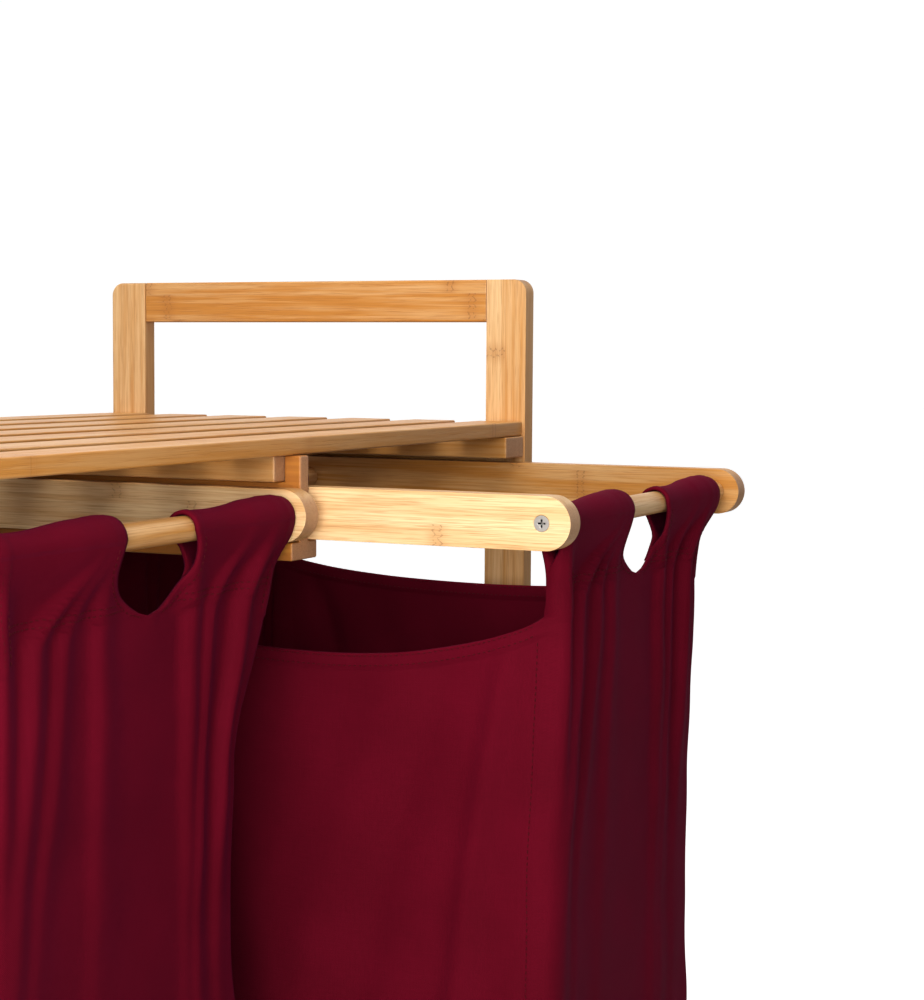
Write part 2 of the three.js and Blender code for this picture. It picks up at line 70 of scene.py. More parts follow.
def add(tree, kind, settings=None, inputs=None):
    """Adds a node, with its properties and its inputs: values or links."""
    node = tree.nodes.new(kind)
    for key, value in (settings or {}).items():
        setattr(node, key, value)
    for key, value in (inputs or {}).items():
        if isinstance(value, bpy.types.NodeSocket):
            tree.links.new(value, node.inputs[key])
        else:
            node.inputs[key].default_value = value
    return node


def maths(tree, operation, a, b=0.0, c=0.0):
    """The result socket of a Math node."""
    node = add(tree, "ShaderNodeMath", {"operation": operation}, {0: a, 1: b, 2: c})
    return node.outputs[0]


def remap(tree, value, low, high, to_low=0.0, to_high=1.0):
    """The value from low..high mapped smoothly onto to_low..to_high."""
    node = add(
        tree,
        "ShaderNodeMapRange",
        {"interpolation_type": "SMOOTHSTEP"},
        {"Value": value, 1: low, 2: high, 3: to_low, 4: to_high},
    )
    return node.outputs[0]


def blend_colour(tree, factor, a, b):
    """The colour socket of a Mix node."""
    node = tree.nodes.new("ShaderNodeMix")
    node.data_type = "RGBA"
    for socket, value in ((node.inputs[0], factor), (node.inputs[6], a), (node.inputs[7], b)):
        if isinstance(value, bpy.types.NodeSocket):
            tree.links.new(value, socket)
        else:
            socket.default_value = value
    return node.outputs[2]


def vector(tree, x, y, z):
    """A vector socket put together from three values."""
    return add(tree, "ShaderNodeCombineXYZ", None, {0: x, 1: y, 2: z}).outputs[0]


def stretched(tree, along, across, deep, lengthways, crossways):
    """A place in the wood, scaled one way along the fibres and another way across them."""
    return vector(
        tree,
        maths(tree, "MULTIPLY", along, lengthways),
        maths(tree, "MULTIPLY", across, crossways),
        maths(tree, "MULTIPLY", deep, crossways),
    )


def noise_at(tree, place, scale=1.0, detail=2.0, roughness=0.5):
    """The value of a Noise node at a place."""
    node = add(
        tree,
        "ShaderNodeTexNoise",
        None,
        {"Vector": place, "Scale": scale, "Detail": detail, "Roughness": roughness},
    )
    return node.outputs["Fac"]


def bump(tree, shader, height, distance, strength=1.0):
    """Gives a shader a bumped normal from a height socket."""
    node = add(
        tree,
        "ShaderNodeBump",
        None,
        {"Height": height, "Distance": distance, "Strength": strength},
    )
    tree.links.new(node.outputs[0], shader.inputs["Normal"])


# ---------------------------------------------------------------- materials

AXES = "XYZ"
STRIP = 0.0195  # width of one bamboo strip in the laminate
KNUCKLE_SPACING = 0.27


PALE = (0.87, 0.655, 0.385, 1.0)
HONEY = (0.60, 0.275, 0.055, 1.0)
FIBRE = (0.43, 0.17, 0.036, 1.0)
KNUCKLE_DARK = (0.20, 0.07, 0.018, 1.0)
EDGE_BROWN = (0.50, 0.23, 0.045, 1)
CUT_BROWN = (0.47, 0.27, 0.155, 1)
CUT_DARK = (0.20, 0.09, 0.045, 1)


def node_value(tree, name):
    """The value that each CAD node carries under a name."""
    settings = {"attribute_type": "OBJECT", "attribute_name": name}
    return add(tree, "ShaderNodeAttribute", settings).outputs["Fac"]


def bamboo_strips(tree, across, shift):
    """Three random values for each strip of the laminate, and 1 along the joints between strips."""
    strip = maths(tree, "FLOOR", maths(tree, "DIVIDE", across, STRIP))
    seed = maths(tree, "MULTIPLY_ADD", shift, 91.7, strip)
    chance = add(tree, "ShaderNodeTexWhiteNoise", {"noise_dimensions": "1D"}, {"W": seed})
    tints = add(tree, "ShaderNodeSeparateColor", None, {0: chance.outputs["Color"]})
    joint = maths(tree, "FRACT", maths(tree, "DIVIDE", across, STRIP))
    joint = maths(tree, "ABSOLUTE", maths(tree, "SUBTRACT", joint, 0.5))
    return tints.outputs, remap(tree, joint, 0.485, 0.5)


def bamboo_knuckles(tree, along, across, deep, chance):
    """Each strip's knuckles: a broken dark line, and a soft zone round it."""
    wobble = noise_at(
        tree,
        vector(tree, maths(tree, "MULTIPLY", along, 20), maths(tree, "MULTIPLY", across, 420), 0.0),
        detail=2,
    )
    turn = maths(tree, "DIVIDE", along, KNUCKLE_SPACING)
    turn = maths(tree, "ADD", turn, chance)
    gap = maths(tree, "SUBTRACT", maths(tree, "FRACT", turn), 0.5)
    gap = maths(tree, "MULTIPLY", gap, KNUCKLE_SPACING)
    gap = maths(tree, "MULTIPLY_ADD", maths(tree, "SUBTRACT", wobble, 0.5), 0.009, gap)
    gap = maths(tree, "ABSOLUTE", gap)
    zone = remap(tree, gap, 0.0, 0.011, 1.0, 0.0)
    off_line = maths(tree, "ABSOLUTE", maths(tree, "SUBTRACT", gap, 0.0022))
    line = remap(tree, off_line, 0.0, 0.0011, 1.0, 0.0)
    dots = noise_at(
        tree,
        vector(tree, maths(tree, "MULTIPLY", along, 600), maths(tree, "MULTIPLY", across, 600), deep),
        detail=1,
    )
    return maths(tree, "MULTIPLY", line, remap(tree, dots, 0.42, 0.60)), zone


def bamboo_end(tree, along, across, deep):
    """The colour of a cut end: brown, with the dark specks of cut fibre bundles."""
    specks = add(
        tree,
        "ShaderNodeTexVoronoi",
        {"feature": "F1"},
        {"Vector": vector(tree, across, deep, along), "Scale": 1100.0},
    ).outputs["Distance"]
    specks = remap(tree, specks, 0.18, 0.42, 1.0, 0.0)
    return blend_colour(tree, maths(tree, "MULTIPLY", specks, 0.55), CUT_BROWN, CUT_DARK)


def bamboo(grain, wide):
    """Laminated bamboo: fibres run along one axis, strips lie side by side along another."""
    material, tree, shader = node_material(f"bamboo_{grain}{wide}")
    place = tree.nodes.new("ShaderNodeTexCoord")
    split = add(tree, "ShaderNodeSeparateXYZ", None, {0: place.outputs["Object"]})
    normal = add(tree, "ShaderNodeSeparateXYZ", None, {0: place.outputs["Normal"]})
    shift = node_value(tree, "grain_shift")
    thin = next(axis for axis in AXES if axis not in (grain, wide))
    along = maths(tree, "MULTIPLY_ADD", shift, 7.31, split.outputs[grain])
    across = maths(tree, "MULTIPLY_ADD", shift, 0.613, split.outputs[wide])
    deep = maths(tree, "MULTIPLY_ADD", shift, 1.37, split.outputs[thin])
    tints, joint = bamboo_strips(tree, across, shift)
    line, zone = bamboo_knuckles(tree, along, across, deep, tints[1])

    # fibres: long soft streaks, fine lines and short dark dashes
    soft = noise_at(tree, stretched(tree, along, across, deep, 9, 260), detail=3)
    fine = noise_at(tree, stretched(tree, along, across, deep, 28, 1500), detail=2)
    dash = noise_at(tree, stretched(tree, along, across, deep, 48, 1500), detail=1)
    broad = noise_at(tree, stretched(tree, along, across, deep, 5, 34), detail=1)
    dash = remap(tree, dash, 0.57, 0.70)

    mixed = maths(tree, "MULTIPLY_ADD", tints[0], 0.24, remap(tree, soft, 0.33, 0.72, 0.0, 0.42))
    mixed = maths(tree, "MULTIPLY_ADD", remap(tree, broad, 0.3, 0.7), 0.16, mixed)
    # each piece's tone, partly its own and partly painted shade or light for where it sits
    mixed = maths(tree, "ADD", mixed, node_value(tree, "tone_and_shade"))
    colour = blend_colour(tree, mixed, PALE, HONEY)
    colour = blend_colour(tree, remap(tree, fine, 0.45, 0.72, 0.0, 0.34), colour, FIBRE)
    colour = blend_colour(tree, maths(tree, "MULTIPLY", dash, 0.34), colour, FIBRE)
    colour = blend_colour(tree, maths(tree, "MULTIPLY", zone, 0.30), colour, FIBRE)
    colour = blend_colour(tree, maths(tree, "MULTIPLY", line, 0.42), colour, KNUCKLE_DARK)
    colour = blend_colour(tree, maths(tree, "MULTIPLY", joint, 0.38), colour, FIBRE)

    # faces whose normal runs along the strips' width, the narrow edges, are mixed towards a deeper brown
    edge = remap(tree, maths(tree, "ABSOLUTE", normal.outputs[wide]), 0.55, 0.9)
    colour = blend_colour(tree, maths(tree, "MULTIPLY", edge, 0.5), colour, EDGE_BROWN)
    colour = blend_colour(tree, remap(tree, mixed, 1.0, 2.0), colour, FIBRE)
    cut = remap(tree, maths(tree, "ABSOLUTE", normal.outputs[grain]), 0.55, 0.9)
    end = bamboo_end(tree, along, across, deep)
    colour = blend_colour(tree, maths(tree, "MULTIPLY", cut, 0.85), colour, end)
    tree.links.new(colour, shader.inputs["Base Color"])

    rough = maths(tree, "MULTIPLY_ADD", soft, 0.16, 0.34)
    tree.links.new(maths(tree, "MULTIPLY_ADD", cut, 0.2, rough), shader.inputs["Roughness"])
    shader.inputs["Coat Weight"].default_value = 0.18
    shader.inputs["Coat Roughness"].default_value = 0.32
    shader.inputs["Specular IOR Level"].default_value = 0.42
    height = maths(tree, "MULTIPLY_ADD", dash, -0.5, fine)
    height = maths(tree, "MULTIPLY_ADD", line, -0.8, height)
    height = maths(tree, "MULTIPLY_ADD", joint, -0.8, height)
    bump(tree, shader, height, 0.00022, 0.55)
    return material


THREAD_PITCH = 0.00085


def cloth_material(name, base, light, sheen):
    """Plain-woven polyester: crossing threads, slubs and a soft sheen. UVs are in metres."""
    material, tree, shader = node_material(name)
    uv = add(tree, "ShaderNodeUVMap", {"uv_map": "cloth"}).outputs[0]
    u, v = add(tree, "ShaderNodeSeparateXYZ", None, {0: uv}).outputs[:2]
    warp = maths(tree, "SINE", maths(tree, "MULTIPLY", u, math.tau / THREAD_PITCH))
    weft = maths(tree, "SINE", maths(tree, "MULTIPLY", v, math.tau / THREAD_PITCH))
    check = maths(tree, "MULTIPLY", warp, weft)
    upright = vector(tree, maths(tree, "MULTIPLY", u, 1200), maths(tree, "MULTIPLY", v, 60), 0.0)
    level = vector(tree, maths(tree, "MULTIPLY", u, 60), maths(tree, "MULTIPLY", v, 1200), 7.0)
    slub_u = noise_at(tree, upright, detail=2)
    slub_v = noise_at(tree, level, detail=2)
    place = tree.nodes.new("ShaderNodeTexCoord").outputs["Object"]
    cloud = noise_at(tree, place, scale=16.0, detail=3)
    tone = maths(tree, "MULTIPLY", slub_u, 0.3)
    tone = maths(tree, "MULTIPLY_ADD", remap(tree, cloud, 0.3, 0.7), 0.35, tone)
    tone = maths(tree, "MULTIPLY_ADD", slub_v, 0.3, tone)
    colour = blend_colour(tree, tone, base, light)
    shade = tuple(c * 0.4 for c in base[:3]) + (1,)
    colour = blend_colour(tree, remap(tree, check, -1.0, 1.0, 0.0, 0.16), colour, shade)
    tree.links.new(colour, shader.inputs["Base Color"])
    tree.links.new(maths(tree, "MULTIPLY_ADD", cloud, 0.14, 0.68), shader.inputs["Roughness"])
    shader.inputs["Specular IOR Level"].default_value = 0.05
    shader.inputs["Sheen Weight"].default_value = sheen
    shader.inputs["Sheen Roughness"].default_value = 0.45
    shader.inputs["Sheen Tint"].default_value = (0.70, 0.08, 0.50, 1)
    height = maths(tree, "ADD", check, maths(tree, "ADD", slub_u, slub_v))
    bump(tree, shader, height, 0.00012, 0.5)
    return material


def thread_material():
    """Twisted polyester thread."""
    material, tree, shader = node_material("bag_thread")
    place = tree.nodes.new("ShaderNodeTexCoord").outputs["Object"]
    twist = noise_at(tree, place, scale=2600.0, detail=2)
    colour = blend_colour(tree, twist, (0.060, 0.0012, 0.0045, 1), (0.12, 0.003, 0.010, 1))
    tree.links.new(colour, shader.inputs["Base Color"])
    tree.links.new(maths(tree, "MULTIPLY_ADD", twist, 0.2, 0.45), shader.inputs["Roughness"])
    shader.inputs["Specular IOR Level"].default_value = 0.15
    bump(tree, shader, twist, 0.0001, 0.5)
    return material


def metal_material(name, colour, rough, scale):
    """Zinc-plated steel: fine brushed streaks, cloudy plating, and painted shade in tight recesses."""
    material, tree, shader = node_material(name)
    place = tree.nodes.new("ShaderNodeTexCoord").outputs["Object"]
    drawn_out = {"Vector": place, "Scale": (scale, scale, scale * 0.06)}
    streak = noise_at(tree, add(tree, "ShaderNodeMapping", None, drawn_out).outputs[0])
    cloud = noise_at(tree, place, scale=90.0, detail=4)
    duller = tuple(c * 0.72 for c in colour) + (1,)
    plated = blend_colour(tree, remap(tree, cloud, 0.35, 0.75), colour + (1,), duller)
    # painted shade: an occlusion mask darkens tight recesses, such as a screw head's cross, to near
    # black
    openness = add(tree, "ShaderNodeAmbientOcclusion", {"samples": 8}, {"Distance": 0.002})
    painted_recess_shade = remap(tree, openness.outputs["AO"], 0.35, 0.85, 1.0, 0.0)
    colour = blend_colour(tree, painted_recess_shade, plated, (0.03, 0.028, 0.025, 1))
    tree.links.new(colour, shader.inputs["Base Color"])
    roughness = maths(tree, "MULTIPLY_ADD", streak, 0.12, rough)
    roughness = maths(tree, "MULTIPLY_ADD", cloud, 0.18, roughness)
    tree.links.new(roughness, shader.inputs["Roughness"])
    shader.inputs["Metallic"].default_value = 1.0
    bump(tree, shader, streak, 0.00005, 0.4)
    return material


def moulded_material(name, colour, rough, grain):
    """Moulded rubber or plastic with a fine spark-eroded texture and light scuffs."""
    material, tree, shader = node_material(name)
    place = tree.nodes.new("ShaderNodeTexCoord").outputs["Object"]
    texture = noise_at(tree, place, scale=grain, detail=2)
    scuff = noise_at(tree, place, scale=70.0, detail=5, roughness=0.65)
    paler = tuple(min(1, c * 1.9 + 0.02) for c in colour) + (1,)
    scuffed = blend_colour(tree, remap(tree, scuff, 0.5, 0.8, 0.0, 0.5), colour + (1,), paler)
    tree.links.new(scuffed, shader.inputs["Base Color"])
    tree.links.new(maths(tree, "MULTIPLY_ADD", scuff, 0.25, rough), shader.inputs["Roughness"])
    bump(tree, shader, texture, 0.00012, 0.6)
    return material


WINE = (0.118, 0.0028, 0.0135, 1)
WINE_LIGHT = (0.176, 0.0048, 0.0225, 1)
cloth = cloth_material("bag_cloth", WINE, WINE_LIGHT, 0.05)
thread = thread_material()
screw_steel = metal_material("screw_steel", (0.78, 0.76, 0.72), 0.22, 900.0)
caster_steel = metal_material("caster_steel", (0.66, 0.67, 0.68), 0.28, 500.0)
rubber = moulded_material("wheel_rubber", (0.035, 0.035, 0.037), 0.55, 1500.0)
nylon = moulded_material("wheel_hub_nylon", (0.20, 0.20, 0.21), 0.38, 900.0)
plastic = moulded_material("pedal_plastic", (0.018, 0.018, 0.020), 0.42, 1200.0)


# ---------------------------------------------------------------- CAD nodes


def clean_up_group():
    """Joins the imported triangles into one smooth-shaded surface without stored normals."""
    group = bpy.data.node_groups.new("clean_up", "GeometryNodeTree")
    group.interface.new_socket("Geometry", in_out="INPUT", socket_type="NodeSocketGeometry")
    group.interface.new_socket("Geometry", in_out="OUTPUT", socket_type="NodeSocketGeometry")
    enter = group.nodes.new("NodeGroupInput")
    leave = group.nodes.new("NodeGroupOutput")
    geometry = enter.outputs[0]
    for stale in ("custom_normal", "sharp_face", "sharp_edge"):
        node = group.nodes.new("GeometryNodeRemoveAttribute")
        node.inputs["Name"].default_value = stale
        group.links.new(geometry, node.inputs[0])
        geometry = node.outputs[0]
    merge = group.nodes.new("GeometryNodeMergeByDistance")
    merge.inputs["Distance"].default_value = SAME_POINT
    smooth = group.nodes.new("GeometryNodeSetShadeSmooth")
    for node in (merge, smooth):
        group.links.new(geometry, node.inputs[0])
        geometry = node.outputs[0]
    group.links.new(geometry, leave.inputs[0])
    return group


clean_up = clean_up_group()


def ease_edges(node, width, segments=3):
    """Rounds a CAD node's sharp edges with modifiers; its mesh stays as it is."""
    node.modifiers.new("clean_up", "NODES").node_group = clean_up
    flat = node.modifiers.new("flat_faces", "DECIMATE")
    flat.decimate_type = "DISSOLVE"
    flat.angle_limit = math.radians(0.5)
    ease = node.modifiers.new("eased_edges", "BEVEL")
    ease.width = width
    ease.segments = segments
    ease.limit_method = "ANGLE"
    ease.angle_limit = math.radians(35)
    ease.harden_normals = False
    shade = node.modifiers.new("face_normals", "WEIGHTED_NORMAL")
    shade.keep_sharp = False
    shade.weight = 90


def paint(node, material):
    """Gives a CAD node one material."""
    node.data.materials.clear()
    node.data.materials.append(material)


BAMBOO_AXES = {
    "post": "ZY",
    "handle_rail": "YZ",
    "low_rail": "YZ",
    "drawer_runner": "YZ",
    "shelf_slat": "XY",
    "shelf_cleat": "YX",
    "guide": "YZ",
    "stretcher": "XZ",
    "drawer_outer_rail": "YZ",
    "drawer_inner_rail": "YZ",
    "dowel": "XZ",
}
# how far each kind of piece leans from pale towards honey: partly each kind's own tone, partly painted
# shade and light, darker for pieces that sit in shade such as the guide, paler for the inner drawer
# rails, which catch the most light
BAMBOO_TONE_AND_SHADE = {
    "post": 0.12,
    "handle_rail": 0.48,
    "low_rail": 0.35,
    "drawer_runner": 0.50,
    "shelf_slat": 0.50,
    "shelf_cleat": 0.20,
    "guide": 1.25,
    "stretcher": 0.42,
    "drawer_outer_rail": 0.42,
    "drawer_inner_rail": -0.18,
    "dowel": 0.20,
}
BAMBOO_EDGE = 0.0012
bamboos = {axes: bamboo(*axes) for axes in sorted(set(BAMBOO_AXES.values()))}

for name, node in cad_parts.items():
    kind = next((key for key in BAMBOO_AXES if key in name), None)
    if kind:
        paint(node, bamboos[BAMBOO_AXES[kind]])
        node["grain_shift"] = (zlib.crc32(name.encode()) % 997) / 997
        node["tone_and_shade"] = BAMBOO_TONE_AND_SHADE[kind]
        ease_edges(node, 0.0005 if kind == "dowel" else BAMBOO_EDGE)
    elif "screw" in name:
        paint(node, screw_steel)
        ease_edges(node, 0.00018, 2)
    elif "pedal" in name:
        paint(node, plastic)
        ease_edges(node, 0.0007)
    elif "caster" in name:
        paint(node, caster_steel)
        ease_edges(node, 0.0004, 2)


# ---------------------------------------------------------------- mesh helpers


def mesh_object(name, vertices, faces, material, uvs=None):
    """A smooth-shaded mesh object; uvs are one pair for each vertex."""
    mesh = bpy.data.meshes.new(name)
    mesh.from_pydata([tuple(v) for v in vertices], [], faces)
    mesh.materials.append(material)
    if uvs is not None:
        layer = mesh.uv_layers.new(name="cloth")
        corners = np.empty(len(mesh.loops), dtype=np.int32)
        mesh.loops.foreach_get("vertex_index", corners)
        layer.data.foreach_set("uv", np.asarray(uvs, dtype=np.float32)[corners].ravel())
    mesh.shade_smooth()
    made = bpy.data.objects.new(name, mesh)
    bpy.context.collection.objects.link(made)
    return made


def smoothstep(t):
    """0 to 1 with level ends as t goes from 0 to 1."""
    t = np.clip(t, 0.0, 1.0)
    return t * t * (3 - 2 * t)


# ---------------------------------------------------------------- laundry bags

BAG_HALF = 0.136  # half of the bag's width
BAG_SHIFT = {"left": 0.011, "right": -0.010}  # how far each bag has slid along its dowels
BAG_DROP = 0.4975  # from the dowels' axis to the bottom
BAG_SEED = {"left": 1.7, "right": 0.4}  # for the uneven lifts of each bag
HOLE_HALF = 0.0345  # half of the hand hole's width at the dowel
HOLE_BULGE = 0.0055  # how much wider the hole is on each side part way down
HOLE_TIP = 0.043  # how far the hand hole's point is below the dowel's axis
FLAP_END = 0.037  # how far a loop's back layer reaches down
SEAM_TOP = 0.056  # where a side panel meets the corner seams
CORNER = 0.009  # how far in from a corner seam a panel starts to turn
CORNER_DEPTH = 0.0065  # how far it has turned at the seam
BASE_ROUND = 0.014  # radius between walls and base
LOOP_RADIUS = 0.0091  # of a loop's middle surface over the dowel
LOOP_SLACK = 0.0030  # how much further a loop stands off the dowel at its +x end
SEAM_PINCH = 0.0021  # depth of the groove at a corner seam
PINCH_WIDTH = 0.0025
CLOTH_THICK = 0.0024  # of a hem; a single layer is PLAIN of it
PLAIN = 0.45
RIM = 0.9  # the share at a loop's folded edge
FLAP = 0.6  # the least share in a loop's back layer
HEM = 0.009  # height of a side panel's top hem
HEM_SAG = {-1: 0.0268, 1: 0.0115}  # of the side hems at -x and +x

# Folds of a front or rear panel, in mm: x at the dowel, x 50 mm below it, x 220 mm
# below it, height, half width
FOLDS = (
    (-130, -129, -124, 7.0, 7),
    (-52, -104, -116, 6.5, 7),
    (-44, -78, -96, 4.5, 6),
    (-41, -46, -44, 4.5, 8),
    (40, 36, 48, 5.5, 8),
    (92, 60, 64, 4.5, 6),
    (116, 92, 98, 8.5, 8),
)

# Creases of a side panel: where they start along the hem, how far they lean, both
# as a share of the panel, their height in metres, and their half width as a share
CREASES = (
    (0.045, 0.16, 0.0055, 0.028),
    (0.13, 0.34, -0.0030, 0.045),
    (0.22, 0.42, 0.0022, 0.050),
    (0.94, -0.22, 0.0045, 0.032),
    (0.80, -0.30, 0.0022, 0.050),
)


def fold_height(x, z, flip, seed):
    """How far the folds lift a panel at x, at z below the dowel's axis."""
    total = np.zeros_like(x)
    depth = -z
    for number, (top, middle, low, height, width) in enumerate(FOLDS):
        wander = noise.noise(Vector((seed, number * 3.7, 0.5))) * 9
        upper = smoothstep(depth / 0.05)
        lower = smoothstep((depth - 0.05) / 0.17)
        line = top + (middle - top) * upper + (low - middle) * lower + wander * upper
        line = line * flip * MM
        spread = width * MM * (1 + 1.3 * np.clip(depth / 0.45, 0, 1))
        low_end = 0.35 + 0.35 * noise.noise(Vector((seed, number * 1.9, 4.5)))
        fade = 0.25 + 0.75 * smoothstep(depth / 0.03)
        fade = fade * (1 - (1 - low_end) * smoothstep((depth - 0.07) / 0.2))
        spread = np.where(x < line, 0.6 * spread, 1.5 * spread)
        total += height * MM * fade * np.exp(-(((x - line) / spread) ** 2))
    return total


def ripple(points, seed, size, height):
    """Small uneven lifts over a grid of points."""
    flat = points.reshape(-1, 3)
    offset = Vector((seed * 13.1, seed * 5.3, seed * 2.9))
    found = [noise.noise(Vector(p) / size + offset) for p in flat]
    return np.array(found).reshape(points.shape[:-1]) * height


def draw_in(hand, z, side):
    """How far a bag's +x edge is drawn towards its middle below the loops."""
    if hand < 0:
        return 0.0
    amount, reach = {"left": (0.046, 0.13), "right": (0.016, 0.05)}[side]
    return amount * smoothstep((-z - 0.012) / reach) * (1 - 0.75 * smoothstep((-z - 0.22) / 0.22))


def inset(z):
    """How far the bag's walls draw in as they round into its base."""
    rise = np.clip((z + BAG_DROP) / BASE_ROUND, 0, 1)
    return BASE_ROUND * (1 - np.sqrt(np.clip(1 - (1 - rise) ** 2, 0, 1)))


def hole_half(z):
    """Half the hand hole's width at z below the dowel's axis."""
    depth = np.clip(-z / HOLE_TIP, 0, 1)
    widest = HOLE_HALF + HOLE_BULGE * np.sin(math.pi * np.clip(depth * 1.15, 0, 1))
    return widest * (1 - depth**2.4) ** 0.6


FLAP_ROWS = 13  # rows of a loop's back layer
ARC_ROWS = 15  # rows over the dowel
HOLE_ROWS = 18  # rows beside the hand hole


def panel_rows():
    """A loop's and panel's rows, from the back layer's end over the dowel and down."""
    rows = [("flap", -z) for z in np.linspace(FLAP_END, 0.002, FLAP_ROWS)]
    rows += [("arc", a) for a in np.linspace(0, math.pi, ARC_ROWS)]
    rows += [("front", -z) for z in np.linspace(0.002, HOLE_TIP, HOLE_ROWS)]
    rows += [("front", -z) for z in np.arange(HOLE_TIP + 0.0035, SEAM_TOP, 0.0035)]
    rows += [("front", -z) for z in np.arange(SEAM_TOP, SEAM_TOP + 0.012, 0.0015)]
    rows += [("front", -z) for z in np.linspace(SEAM_TOP + 0.0125, 0.25, 48)]
    rows += [("front", -z) for z in np.linspace(0.257, BAG_DROP - BASE_ROUND, 31)]
    turn = np.linspace(0.25, math.pi / 2, 6)
    rows += [("front", -BAG_DROP + BASE_ROUND * (1 - math.sin(a))) for a in turn]
    return rows


ROWS = panel_rows()
PANEL_COLUMNS = 46
SIDE_COLUMNS = 84
FRONT_Z = np.array([value for part, value in ROWS if part == "front"])
SEAM_ROW = int(np.argmin(np.abs(FRONT_Z + SEAM_TOP)))
FRONT_START = sum(part != "front" for part, value in ROWS)


def half_panel(hand, flip, seed, side):
    """One half of a front panel with its loop: a grid of points and its cloth coordinates.

    hand is -1 for the half at -x and +1 for the half at +x. flip mirrors the folds.
    """
    columns = np.linspace(0, 1, PANEL_COLUMNS)
    points = np.zeros((len(ROWS), PANEL_COLUMNS, 3))
    uvs = np.zeros((len(ROWS), PANEL_COLUMNS, 2))
    run = 0.0
    for r, (part, value) in enumerate(ROWS):
        z = 0.0 if part == "arc" else value
        inner = hole_half(np.array(z))
        outer = BAG_HALF - inset(np.array(z))
        x = hand * (outer + (inner - outer) * columns)
        # the loop stands further off the dowel towards its +x end
        share = (x - (-BAG_HALF if hand < 0 else HOLE_HALF)) / (BAG_HALF - HOLE_HALF)
        slack = smoothstep((share - 0.25) / 0.5) * (1 - 0.4 * smoothstep((share - 0.88) / 0.12))
        radius = LOOP_RADIUS + LOOP_SLACK * slack
        folds = fold_height(x, np.full_like(x, z), flip, seed)
        hang = -0.0010 + 0.004 * smoothstep((-z - 0.05) / 0.2)
        corner = np.clip((np.abs(x) - (outer - CORNER)) / CORNER, 0, 1)
        corner = CORNER_DEPTH * (1 - np.sqrt(1 - corner**2)) * smoothstep((-z - 0.008) / 0.03)
        groove = np.exp(-(((outer - np.abs(x)) / PINCH_WIDTH) ** 2))
        pinch = SEAM_PINCH * groove * smoothstep((-z - 0.045) / 0.012)
        corner = corner + pinch
        x = x - hand * pinch - draw_in(hand, z, side) * (np.maximum(x, 0) / BAG_HALF) ** 1.6
        if part == "arc":
            lift = radius + folds * 0.3
            y = np.cos(value) * lift
            height = np.sin(value) * lift
            run += LOOP_RADIUS * math.pi / (ARC_ROWS - 1)
        elif part == "flap":
            ease = smoothstep(-z / FLAP_END)
            y = (radius + folds * 0.3) * (1 - ease) + (hang + 0.0026 - folds) * ease + corner * 0.6
            x = x + hand * 0.007 * smoothstep(-z / 0.012) * columns**3
            height = np.full_like(x, z)
            run += 0.003
        else:
            ease = smoothstep(-z / 0.032)
            y = -(radius + folds * 0.3) * (1 - ease) + (hang - folds) * ease
            y = y + corner + inset(np.array(z))
            height = np.full_like(x, z)
            run = 0.1 - z
        points[r] = np.stack([x, y, height], axis=1)
        uvs[r] = np.stack([x, np.full_like(x, run)], axis=1)
    wander = ripple(points, seed, 0.045, 0.0011)
    calm = np.array([0.0 if part != "front" else smoothstep(-value / 0.05) for part, value in ROWS])
    points[:, :, 1] += wander * calm[:, None]
    return points, uvs


def side_panel(front_seam, rear_seam, hand, sag, seed):
    """A side panel between two corner seams, with a hemmed top edge that sags between the dowels."""
    s = np.linspace(0, 1, SIDE_COLUMNS)[None, :]
    level = (front_seam[:, 2:3] + SEAM_TOP) / (SEAM_TOP - BAG_DROP)
    top = -SEAM_TOP - 0.003 * (1 - np.exp(-np.minimum(s, 1 - s) / 0.025))
    top = top - sag * (1 - np.abs(1 - 2 * s) ** 2.3)
    x = front_seam[:, 0:1] * (1 - s) + rear_seam[:, 0:1] * s
    y = front_seam[:, 1:2] * (1 - s) + rear_seam[:, 1:2] * s
    z = top + level * (-BAG_DROP - top)
    z = np.where(level >= 1, front_seam[:, 2:3], z)
    depth = -z
    belly = np.sin(np.pi * s) ** 0.7 * (0.0045 * np.sin(np.pi * np.clip(level, 0, 1)) + 0.0005)
    creases = np.zeros_like(z)
    for start, lean, height, width in CREASES:
        line = start + lean * np.clip((depth - 0.06) / 0.4, 0, 1) ** 0.7
        creases += height * np.exp(-(((s - line) / width) ** 2)) * smoothstep((depth - 0.05) / 0.06)
    distance = np.minimum(s, 1 - s) * (rear_seam[:, 1:2] - front_seam[:, 1:2])
    lip = SEAM_PINCH * (1 - np.exp(-((distance / PINCH_WIDTH) ** 2)))
    ends = smoothstep(np.minimum(s, 1 - s) / 0.03)
    base = smoothstep((z + BAG_DROP) / 0.03)
    points = np.stack([x + hand * ((belly + creases) * ends * base + lip), y, z], axis=2)
    points[:, :, 0] += ripple(points, seed, 0.07, 0.0016) * ends * base
    uvs = np.stack([y + np.zeros_like(z), z], axis=2)
    return points, uvs


def base_panel(front, rear, left, right):
    """The bag's base, between the walls' lowest rows."""
    u = np.linspace(0, 1, len(front))[None, :, None]
    v = np.linspace(0, 1, len(left))[:, None, None]
    ruled = front[None] * (1 - v) + rear[None] * v + left[:, None] * (1 - u) + right[:, None] * u
    corners = (
        front[0] * (1 - u) * (1 - v) + front[-1] * u * (1 - v) + rear[0] * (1 - u) * v + rear[-1] * u * v
    )
    points = ruled - corners
    middle = np.sin(np.pi * u[:, :, 0]) * np.sin(np.pi * v[:, :, 0])
    points[:, :, 2] -= 0.0045 * middle**0.5
    points[:, :, 2] += ripple(points, 3.3, 0.06, 0.0025) * middle
    return points, points[:, :, :2].copy()


def measure_down(grid):
    """The length of cloth from the first row down to each row, column by column."""
    steps = np.linalg.norm(np.diff(grid, axis=0), axis=2)
    return np.vstack([np.zeros((1, grid.shape[1])), np.cumsum(steps, axis=0)])


